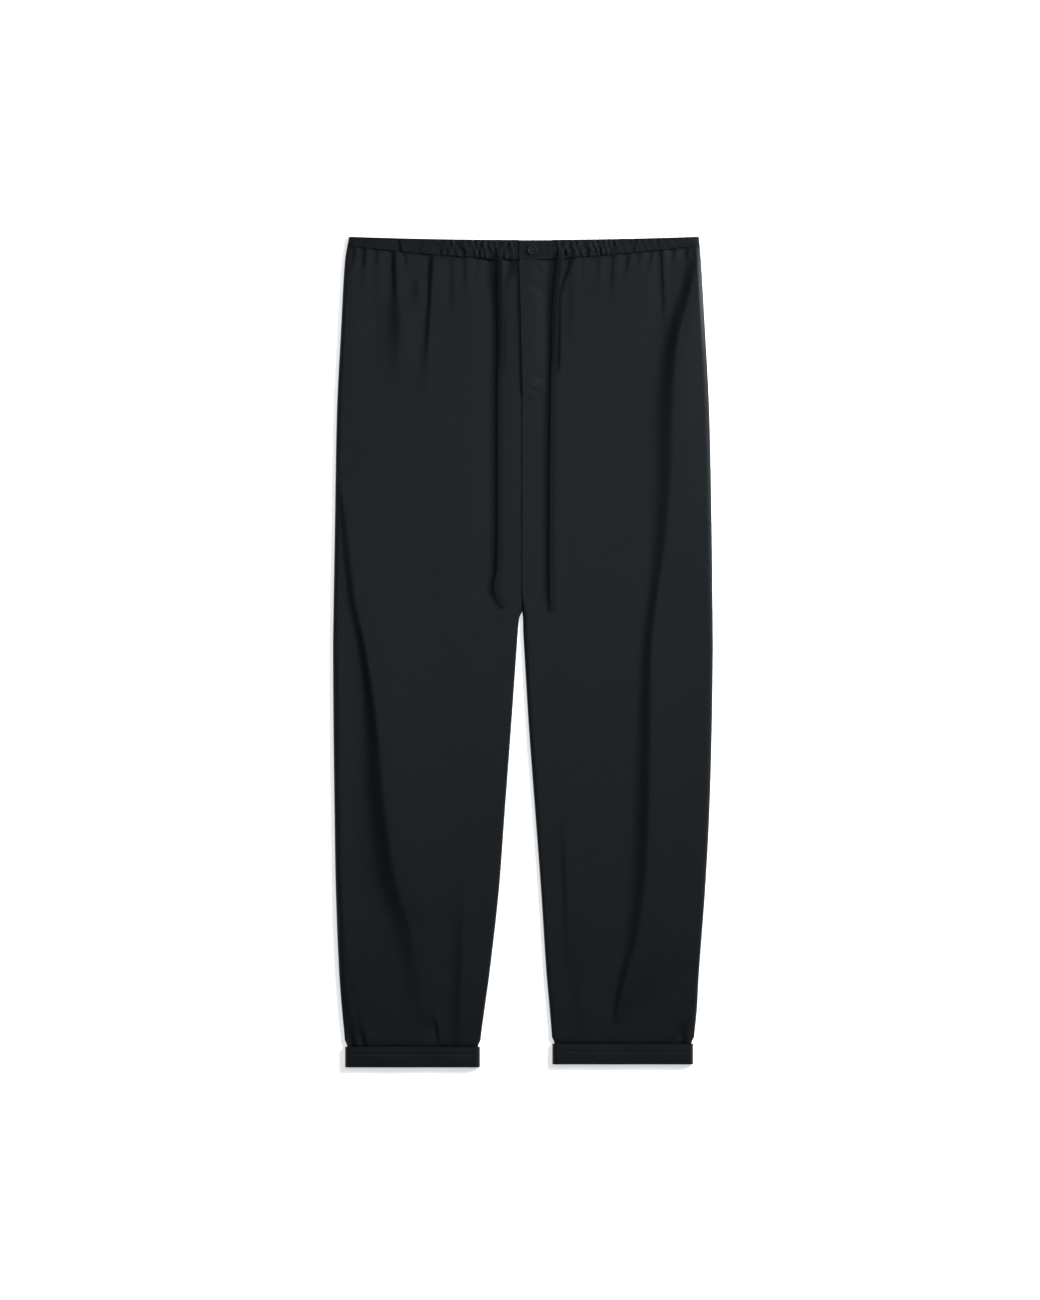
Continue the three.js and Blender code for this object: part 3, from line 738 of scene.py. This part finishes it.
# shallow hollows pressed into the underside of the backs
backCreases = table(
    creaseColumns,
    (-150, 470, -146, 360, 0.35, 5, 9, 1),
    (-96, 470, -99, 330, 0.4, 5, 10, 1),
    (-52, 470, -50, 400, 0.3, 4, 8, 1),
    (48, 470, 50, 390, 0.3, 4, 8, 1),
    (104, 470, 101, 350, 0.4, 5, 10, 1),
    (158, 470, 160, 372, 0.35, 5, 9, 1),
    (-150, 40, -128, -330, 0.4, 14, 20, 0),
    (140, 60, 118, -350, 0.4, 14, 20, 0),
    (-60, 180, -90, -60, 0.35, 16, 20, 0),
    (62, 190, 88, -40, 0.35, 16, 20, 0),
)
backGrid = {
    "edgeSteps": [0, 0.003, 0.008, 0.016, 0.028], "middle": 84,
    "foot": 50, "footRows": 18, "middleRows": 120, "top": 60, "topRows": 44,
}
backForm = {
    "curl": 0.5, "curlWidth": 4, "seam": 0.35, "seamWidth": 1.5, "pleat": 0.5, "pleatReach": 12, "fade": 8,
    "seamAside": 1.8, "asideFrom": 2, "asideFull": 15,
}


def makeBack(leg):
    across = stations(backGrid)
    bottom = hemOf(leg) + cut["aboveHem"]
    top = cut["waistTop"] - band["backDeep"] - cut["gap"]
    heights = np.concatenate([
        np.linspace(bottom, bottom + backGrid["foot"], backGrid["footRows"])[:-1],
        np.linspace(bottom + backGrid["foot"], top - backGrid["top"], backGrid["middleRows"])[:-1],
        np.linspace(top - backGrid["top"], top, backGrid["topRows"]),
    ])

    def place(u, v):
        y = fromEven(heights, v)
        # the backs' seam lies beside that of the fronts
        aside = smooth(y, cut["legsPart"] + backForm["asideFrom"], cut["legsPart"] + backForm["asideFull"])
        inner = innerX(leg, y) + backForm["seamAside"] * aside
        left, right = inOrder(leg, sideX(leg, y), inner)
        tuck = hemTuck(leg, y)
        x = left + tuck + (right - left - 2 * tuck) * fromEven(across, u)
        apart = legsApart(y)
        fromSide = inward[leg] * (x - sideX(leg, y))
        fromInner = inward[leg] * (inner - x)
        atInner = apart * (1 - quarterRound(fromInner / backForm["curlWidth"]))
        curl = backForm["curl"] * np.maximum(1 - quarterRound(fromSide / backForm["curlWidth"]), atInner)
        seam = backForm["seam"] * (1 - apart) * bell(fromInner, backForm["seamWidth"])
        pleats = backForm["pleat"] * gatherWave(x + 3) * np.exp((y - top) / backForm["pleatReach"])
        pleats = pleats * smooth(fromSide, 1, backForm["fade"])
        hollows = creaseRise(backCreases, x, y, sunk["back"]) * smooth(fromSide, 0, backForm["fade"])
        return x, y, cut["backAtHem"] * nearHem(leg, y) + curl + seam + pleats + hollows

    mesh = clothMesh("back_" + leg, len(across) - 1, len(heights) - 1, place, facing=-1)
    panel = addPiece("back_panel_" + leg, mesh, satin, ["back_" + leg], thick=cut["cloth"])


for leg in ["right", "left"]:
    makeBack(leg)
    makeFront(leg)
print("stage: legs laid")

# waistband: an elastic casing, drawn up in two staggered rows of small irregular pleats
casing = {
    "ripple": 1.6, "pitch": 8.2, "channels": 3, "channelDepth": 0.16, "channelWidth": 0.045, "shirred": 1.8,
    "tabLeft": 34.5, "tabRight": -5.1, "tabGap": 0.15, "roll": 8, "seam": 1.7, "edge": 1.5, "slack": 0.45, "slant": 1.6,
    "thick": 0.8, "columns": 300, "rows": 22, "towardsTab": 1.15,
    "creaseFlank": 2.2, "creaseFall": 6, "creases": table(
        "x height",
        (-190, 0.5), (-147.6, 1.3), (-122, 0.5), (-97, 0.9), (-71, 0.8), (-51, 0.7),
        (58, 0.8), (79, 0.9), (93, 0.7), (110, 0.9), (134, 0.6), (163, 0.6),
    ),
    "exits": table("x y spread", (-32.4, 484, 0.5), (46, 485, 0.6)),
}
backCasing = {"gap": 0.3, "ripple": 0.8, "pitch": 8.9, "channelDepth": 0.15, "channelWidth": 0.04, "thinner": 0.2}


def bandRipple(x, up):
    # the upper row of pleats lies between those of the lower row
    wander = 0.32 * np.sin(x / 19.3 + 1.1) + 0.2 * np.sin(x / 7.7) + 0.12 * np.sin(x / 3.9 + 4 * up)
    phase = x / casing["pitch"] + wander + 0.5 * smooth(up, 0.36, 0.64)
    uneven = 0.4 + 0.6 * np.sin(x / 9.7 + 4.5 * up) ** 2
    strong = 0.16 + 0.84 * smooth(x, -105, -80) * (1 - 0.62 * smooth(x, 88, 118)) * (1 - 0.8 * smooth(x, 176, 200))
    return casing["ripple"] * swing(phase) ** 1.4 * uneven * strong


def stringExits(x, y):
    # the cloth parts in a narrow upturned V where each tape comes out
    part = np.zeros_like(x)
    for row in casing["exits"]:
        below = np.maximum(row["y"] - y, 0)
        arm = row["spread"] * below - np.abs(x - row["x"])
        part += (1.0 * bell(arm + 0.6, 1.1) + 1.1 * smooth(arm, -1, 1)) * smooth(below, 0, 3)
    return part


def channels(up, first, width):
    # grooves of the rows of elastic
    return sum(bell(up - (k + first) / casing["channels"], width) for k in range(casing["channels"]))


def makeFrontBand(leg):
    tabEdge = casing["tabRight"] - casing["tabGap"] if leg == "right" else casing["tabLeft"] + casing["tabGap"]

    def place(u, v):
        fromSide = (u if leg == "right" else 1 - u) ** casing["towardsTab"]
        low = sideX(leg, cut["waistTop"])
        guess = low + (tabEdge - low) * fromSide
        deep = bandUpper(guess) - bandLower(guess)
        up = swing(v / 2)  # closer rows at the two edges
        y = bandLower(guess) + deep * up
        x = sideX(leg, y) + (tabEdge - sideX(leg, y)) * fromSide
        atSide = quarterRound(inward[leg] * (x - sideX(leg, y)) / casing["roll"])
        edges = quarterRound(up * deep / band["edge"]) * (0.35 + 0.65 * quarterRound((1 - up) * deep / band["edge"]))
        toTab = np.maximum(casing["tabRight"] - x, x - casing["tabLeft"])
        slant = casing["slant"] * np.sin(x / 14.3) * (up - 0.5)
        ripple = bandRipple(x + slant, up) * smooth(toTab, 1, 7) - stringExits(x, y)
        for row in casing["creases"]:
            offset = x + 2 * slant - row["x"]
            ripple = ripple + lap(offset, row["height"], casing["creaseFlank"], casing["creaseFall"], sunk["crease"])
        slack = casing["slack"] * np.sin(math.pi * up)
        shirred = 1 + casing["shirred"] * (1 - smooth(x, -112, -90)) + casing["shirred"] * smooth(x, 160, 180)
        channel = casing["channelDepth"] * shirred * channels(up, 0.6, casing["channelWidth"])
        level = casing["seam"] + (band["level"] - casing["edge"] - casing["seam"]) * atSide
        return x, y, level + ((casing["edge"] + ripple + slack) * edges - channel) * atSide

    mesh = clothMesh("waistband_front_" + leg, casing["columns"], casing["rows"], place)
    strip = addPiece("waistband_casing_" + leg, mesh, bandSatin, ["waistband_front_" + leg],
                     thick=casing["thick"])


def makeBackBand():
    def place(u, v):
        y = cut["waistTop"] - band["backDeep"] * (1 - v)
        left, right = sideX("right", y), sideX("left", y)
        x = left + backCasing["gap"] + (right - left - 2 * backCasing["gap"]) * u
        y = y - (cut["waistTop"] - bandUpper(x)) * v
        fromSide = np.minimum(x - left, right - x)
        ripple = backCasing["ripple"] * swing(x / backCasing["pitch"] + 0.4 * np.sin(x / 23)) * smooth(fromSide, 1, 9)
        return x, y, ripple + backCasing["channelDepth"] * channels(v, 0.5, backCasing["channelWidth"])

    mesh = clothMesh("waistband_back", 420, 16, place, facing=-1)
    strip = addPiece("waistband_casing_back", mesh, bandSatin, ["waistband_back"],
                     thick=band["backThick"] - backCasing["thinner"])


makeFrontBand("right")
makeFrontBand("left")
makeBackBand()

waistTab = {
    "level": 7.3, "thick": 2.4, "edge": 0.7, "edgeDrop": 0.5, "topBelow": 1.8,
    "pullX": 10.8, "pullY": 482.4, "pull": 0.35, "pullWidth": 8, "pucker": 0.18, "puckerX": 28, "puckerWidth": 9,
}


def makeTab():
    def place(u, v):
        x = casing["tabRight"] + (casing["tabLeft"] - casing["tabRight"]) * swing(u / 2)
        up = swing(v / 2)
        deep = bandUpper(x) - waistTab["topBelow"] - bandLower(x)
        y = bandLower(x) + deep * up
        edge = np.minimum(np.minimum(x - casing["tabRight"], casing["tabLeft"] - x), np.minimum(up, 1 - up) * deep)
        pulled = waistTab["pull"] * bell(np.hypot(x - waistTab["pullX"], y - waistTab["pullY"]), waistTab["pullWidth"])
        puckered = np.sin(x / 2.1 + 0.6 * np.sin(y / 3)) * bell(x - waistTab["puckerX"], waistTab["puckerWidth"])
        pulled = (pulled + waistTab["pucker"] * puckered) * smooth(edge, 0, 3)
        return x, y, waistTab["level"] - waistTab["edgeDrop"] * (1 - quarterRound(edge / waistTab["edge"])) - pulled

    mesh = clothMesh("waistband_tab", 56, 36, place)
    tab = addPiece("waistband_tab_end", mesh, bandSatin, ["waistband_tab"], thick=waistTab["thick"])


makeTab()
print("stage: waistband made")

# fly flap, open along the wearer's right edge
fly = {
    "bottom": 296.4, "right": -1.2, "lean": -4.2, "width": 32, "spread": 7, "curve": 30, "thick": 0.8, "lift": 1.7,
    "footRise": 24, "footShare": 0.35, "edge": 1.6, "edgeDrop": 0.9, "wave": 0.12, "waveX": 6, "waveWidth": 9,
    "seamX": 31, "seamTop": 462, "seamTurn": 340, "seamFoot": 302, "leanPucker": 0.25, "longPucker": 0.6,
    "puckers": table(
        "x y size height",
        (6, 463, 3, 0.5), (18, 459, 2.6, -1.0), (9, 446, 4.6, 0.6), (20, 436, 6.5, -1.3), (6, 429, 3.6, -0.5),
        (13, 417, 4.4, 0.5), (12, 338, 3, -0.7), (20, 328, 4, -0.8), (8, 321, 3.2, 0.7), (15, 313, 2.8, -0.7),
        (9, 303, 3, -0.5),
    ),
}


def flyPucker(row, x, y):
    along = y - row["y"] + fly["leanPucker"] * (x - row["x"])
    return row["height"] * bell(np.hypot((x - row["x"]) * fly["longPucker"], along), row["size"])


def flySurface(x, y):
    base = np.where(x < fly["right"], frontSurface("right", x, y, 0), frontSurface("left", x, y, 0))
    loose = 1 - smooth((x - fly["right"]) / fly["width"], 0.05, 1)  # sewn down flat on the wearer's left
    foot = smooth(y, fly["bottom"], fly["bottom"] + fly["footRise"])
    ripple = fly["wave"] * np.sin(y / 9 + 0.8 * np.sin(y / 31)) * bell(x - fly["waveX"], fly["waveWidth"])
    ripple = ripple + sum(flyPucker(row, x, y) for row in fly["puckers"])
    thick = fly["thick"] * (fly["footShare"] + (1 - fly["footShare"]) * foot)
    return base + cut["gap"] + thick + fly["lift"] * loose * foot + ripple * smooth(bandLower(x) - y, 0, 8)


def makeFly():
    def place(u, v):
        right = fly["right"] + fly["lean"] * v
        x = right + (fly["width"] + fly["spread"] * v) * u
        foot = fly["bottom"] + fly["curve"] * (1 - np.sqrt(1 - np.clip(u, 0, 1) ** 2))
        y = foot + (bandLower(x) - cut["gap"] - foot) * v
        return x, y, flySurface(x, y) - fly["edgeDrop"] * (1 - quarterRound((x - right) / fly["edge"]))

    mesh = clothMesh("fly_flap", 44, 150, place)
    flap = addPiece("fly_front_flap", mesh, satin, ["fly_flap"], thick=fly["thick"])


makeFly()
print("stage: fly made")

# turn-ups: the hem folded back up over the leg
turnUp = {
    "roll": 6, "seam": 1.5, "level": 6.7, "fold": 1.8, "thick": 0.9, "backThick": 0.7, "slack": 0.35, "uneven": 0.22,
    "stitch": 0.3, "stitchWidth": 1.0, "stitchBelow": 8.4, "wander": 0.35, "footRows": 0.3, "footShare": 0.12,
    "backGap": 0.4, "backUp": 0.2, "backShare": 0.985, "curl": 0.8, "curlWidth": 1.6, "backUneven": 0.12,
    "edgeSteps": [0, 0.0008, 0.003, 0.0065, 0.011, 0.017, 0.025, 0.034], "middle": 70, "rows": 30,
}


def turnUpSurface(leg, x, up):
    left, right = edgesOf(leg, hemOf(leg))
    edge = np.minimum(x - left, right - x)
    slack = turnUp["slack"] * np.sin(math.pi * up / cut["turnUp"])
    slack = slack + turnUp["uneven"] * np.sin(x / 13.7 + up / 9) * smooth(edge, 2, 12)
    stitched = turnUp["stitch"] * bell(up - cut["turnUp"] + turnUp["stitchBelow"], turnUp["stitchWidth"])
    fold = turnUp["fold"] * (1 - quarterRound(up / turnUp["fold"]))
    raised = turnUp["level"] - turnUp["seam"] - fold + slack - stitched
    return turnUp["seam"] + raised * quarterRound(edge / turnUp["roll"])


def makeTurnUp(leg, half):
    hem = hemOf(leg)
    left, right = edgesOf(leg, hem)
    across = stations(turnUp)

    def frontPlace(u, v):
        x = left + (right - left) * fromEven(across, u)
        rows, foot = turnUp["footRows"], turnUp["footShare"]  # closer rows round the fold at the hem
        up = cut["turnUp"] * np.where(v < rows, (v / rows) ** 2 * foot, foot + (v - rows) / (1 - rows) * (1 - foot))
        wander = turnUp["wander"] * np.sin(x / 31 + 0.5) * smooth(up, 10, 24)
        return x, hem + up + wander, turnUpSurface(leg, x, up)

    def backPlace(u, v):
        x = left + turnUp["backGap"] + (right - left - 2 * turnUp["backGap"]) * fromEven(across, u)
        up = cut["turnUp"] * v
        curl = turnUp["curl"] * (1 - quarterRound(up / turnUp["curlWidth"]))
        uneven = turnUp["backUneven"] * np.sin(x / 12 + up / 8) ** 2
        return x, hem + turnUp["backUp"] + up * turnUp["backShare"], curl + uneven

    sides = {"front": (frontPlace, 1, turnUp["thick"]), "back": (backPlace, -1, turnUp["backThick"])}
    place, facing, thick = sides[half]
    mesh = clothMesh(f"turn_up_{half}_{leg}", len(across) - 1, turnUp["rows"], place, facing=facing)
    cuff = addPiece(f"turn_up_cuff_{half}_{leg}", mesh, turnUpSatin, [f"turn_up_{half}_{leg}"], thick=thick)


for leg in ["right", "left"]:
    for half in ["front", "back"]:
        makeTurnUp(leg, half)
print("stage: turn-ups made")

# button: half a section from the middle out, spun round and drilled
button = {
    "x": 10.8, "y": 481.6, "base": 7.5, "steps": 64,
    "hole": 0.8, "holeRing": 1.9, "holes": 4, "drillLong": 5, "drillUp": 1, "drillSides": 16,
    "section": [
        (0, 0), (4.6, 0), (5.6, 0.35), (6, 1.1), (5.8, 1.8), (5.3, 2.15), (4.7, 2.2), (4.2, 1.8), (3.7, 1.4), (0, 1.3),
    ],
}


def buttonDisc():
    bm = bmesh.new()
    verts = [bm.verts.new((x * mm, 0, z * mm)) for x, z in button["section"]]
    for a, b in zip(verts, verts[1:]):
        bm.edges.new((a, b))
    bmesh.ops.spin(bm, geom=list(bm.verts) + list(bm.edges), cent=(0, 0, 0), axis=(0, 0, 1),
                   angle=2 * math.pi, steps=button["steps"], use_merge=True)
    bmesh.ops.remove_doubles(bm, verts=bm.verts, dist=0.00001)
    bmesh.ops.recalc_face_normals(bm, faces=bm.faces)
    bmesh.ops.translate(bm, verts=bm.verts, vec=(button["x"] * mm, button["y"] * mm, button["base"] * mm))
    return meshFrom(bm, "waist_button")


def buttonDrill():
    bm = bmesh.new()
    for k in range(button["holes"]):
        angle = (k + 0.5) * 2 * math.pi / button["holes"]
        made = bmesh.ops.create_cone(bm, cap_ends=True, segments=button["drillSides"], radius1=button["hole"] * mm,
                                     radius2=button["hole"] * mm, depth=button["drillLong"] * mm)["verts"]
        x = button["x"] + button["holeRing"] * math.cos(angle)
        y = button["y"] + button["holeRing"] * math.sin(angle)
        bmesh.ops.translate(bm, verts=made, vec=(x * mm, y * mm, (button["base"] + button["drillUp"]) * mm))
    return meshFrom(bm, "drill")


def makeButton():
    piece = addObject("blank", buttonDisc())
    tool = addObject("drill", buttonDrill())
    holes = piece.modifiers.new("holes", "BOOLEAN")
    holes.operation = "DIFFERENCE"
    holes.object = tool
    holes.solver = "EXACT"
    drilled = withModifiers(piece)
    bpy.data.objects.remove(piece)
    bpy.data.objects.remove(tool)
    addPiece("waist_button_disc", drilled, horn, ["waist_button"], sharp=35)


makeButton()


# sewing: threads laid along the seams
stitching = {"length": 2.6, "space": 0.9, "wide": 0.24, "high": 0.16}
bartacks = {
    "fly": {"at": (0.4, 298.6), "run": (0, -6.5), "step": (0.5, 0), "count": 4},
    "pocket": {"at": (218.6, 293), "run": (3.1, -0.2), "step": (0, -0.55), "count": 8},
}
pocketEdge = {"x": 221.2, "y": 290, "lean": 0.045, "top": 287, "foot": 252, "points": 12}
turnUpRow = {"fromEdge": 3, "points": 60}


def stitchRow(bm, line, surface):
    # short threads laid end to end along a line of points, on a surface
    points = np.array(line, float)
    walked = walkedAlong(points)
    pitch = stitching["length"] + stitching["space"]
    for start in np.arange(0, walked[-1] - stitching["length"], pitch):
        ends = [[np.interp(walk, walked, points[:, axis]) for axis in range(2)]
                for walk in (start, start + stitching["length"])]
        a, b = (Vector((x, y, float(surface(np.array([x]), np.array([y]))[0]))) for x, y in ends)
        made = bmesh.ops.create_icosphere(bm, subdivisions=1, radius=1)["verts"]
        bmesh.ops.scale(bm, verts=made, vec=((b - a).length / 2 * mm, stitching["wide"] * mm, stitching["high"] * mm))
        turn = (b - a).to_track_quat("X", "Z").to_matrix()
        bmesh.ops.rotate(bm, verts=made, cent=(0, 0, 0), matrix=turn)
        bmesh.ops.translate(bm, verts=made, vec=(a + b) / 2 * mm)


def addStitches(name, rows):
    bm = bmesh.new()
    for line, surface in rows:
        stitchRow(bm, line, surface)
    addPiece(name, meshFrom(bm, name), thread, [], sharp=80)


def flySeam():
    # down beside the sewn edge, then curving in to the foot of the opening
    straight = [(fly["seamX"], y) for y in np.linspace(fly["seamTop"], fly["seamTurn"], 40)]
    deep = fly["seamTurn"] - fly["seamFoot"]
    angles = np.linspace(0, math.pi / 2, 30)
    curve = [(fly["seamX"] * math.cos(angle), fly["seamTurn"] - deep * math.sin(angle)) for angle in angles]
    return straight + curve


def bartack(settings, surface):
    # close threads side by side
    (x, y), (runX, runY), (stepX, stepY) = settings["at"], settings["run"], settings["step"]
    starts = [(x + k * stepX, y + k * stepY) for k in range(settings["count"])]
    return [([start, (start[0] + runX, start[1] + runY)], surface) for start in starts]


def pocketLine():
    heights = np.linspace(pocketEdge["top"], pocketEdge["foot"], pocketEdge["points"])
    return [(pocketEdge["x"] + (pocketEdge["y"] - y) * pocketEdge["lean"], y) for y in heights]


def sewTurnUp(leg):
    hem = hemOf(leg)
    low, high = edgesOf(leg, hem)
    reach = np.linspace(low + turnUpRow["fromEdge"], high - turnUpRow["fromEdge"], turnUpRow["points"])
    line = [(x, hem + cut["turnUp"] - turnUp["stitchBelow"]) for x in reach]
    addStitches("turn_up_stitches_" + leg, [(line, lambda x, y: turnUpSurface(leg, x, y - hem))])


def leftFront(x, y):
    return frontSurface("left", x, y)


addStitches("fly_stitches", [(flySeam(), flySurface)])
addStitches("fly_bartack", bartack(bartacks["fly"], flySurface))
addStitches("pocket_bartack", bartack(bartacks["pocket"], leftFront) + [(pocketLine(), leftFront)])
for leg in ["right", "left"]:
    sewTurnUp(leg)
print("stage: sewing done")

# pale floor, and soft light from the upper right
studio = {
    "floor": 24.0, "floorBelow": 0.0004, "floorColour": (0.9, 0.9, 0.9), "floorRough": 0.9, "floorGlow": 0.55,
    "world": 0.1, "worldColour": (0.74, 0.9, 1.0, 1.0),
    "lamps": table(
        "name at aim size power glossy",
        ("key", (1.67, 1.0, 1.04), (0.0, 0.0, 0.0), 0.65, 104.0, False),
        ("edge", (1.67, 1.0, 1.04), (0.0, 0.0, 0.0), 1.4, 13.0, True),
        ("top", (-0.1, 0.22, 1.5), (-0.05, 0.2, 0.0), 0.8, 2.7, True),
        ("fill", (-1.3, 0.6, 1.4), (0.0, 0.0, 0.0), 1.2, 5.0, False),
    ),
}

bm = bmesh.new()
bmesh.ops.create_grid(bm, x_segments=1, y_segments=1, size=studio["floor"] / 2)
bmesh.ops.translate(bm, verts=bm.verts, vec=(0, 0, -studio["floorBelow"]))
floor = addObject("floor", meshFrom(bm, "floor"))
paleFloor, floorTree = newMaterial("paleFloor")
setSurface(floorTree, {
    "Base Color": (*studio["floorColour"], 1), "Roughness": studio["floorRough"], "Specular IOR Level": 0.0,
    "Emission Color": (1, 1, 1, 1), "Emission Strength": studio["floorGlow"],
})
floor.data.materials.append(paleFloor)

world = bpy.data.worlds.new("studio")
world.use_nodes = True
fillNode(world.node_tree, world.node_tree.nodes["Background"],
         {"Color": studio["worldColour"], "Strength": studio["world"]})
scene.world = world

for row in studio["lamps"]:
    lampData = bpy.data.lights.new(row["name"], "AREA")
    lampData.shape = "SQUARE"
    lampData.size = row["size"]
    lampData.energy = row["power"]
    lamp = addObject(row["name"], lampData)
    lamp.location = row["at"]
    lamp.visible_glossy = row["glossy"]
    lamp.rotation_mode = "QUATERNION"
    lamp.rotation_quaternion = (Vector(row["aim"]) - Vector(row["at"])).to_track_quat("-Z", "Y")

scene.view_settings.view_transform = "Standard"
scene.view_settings.look = "None"

print("stage: scene ready")
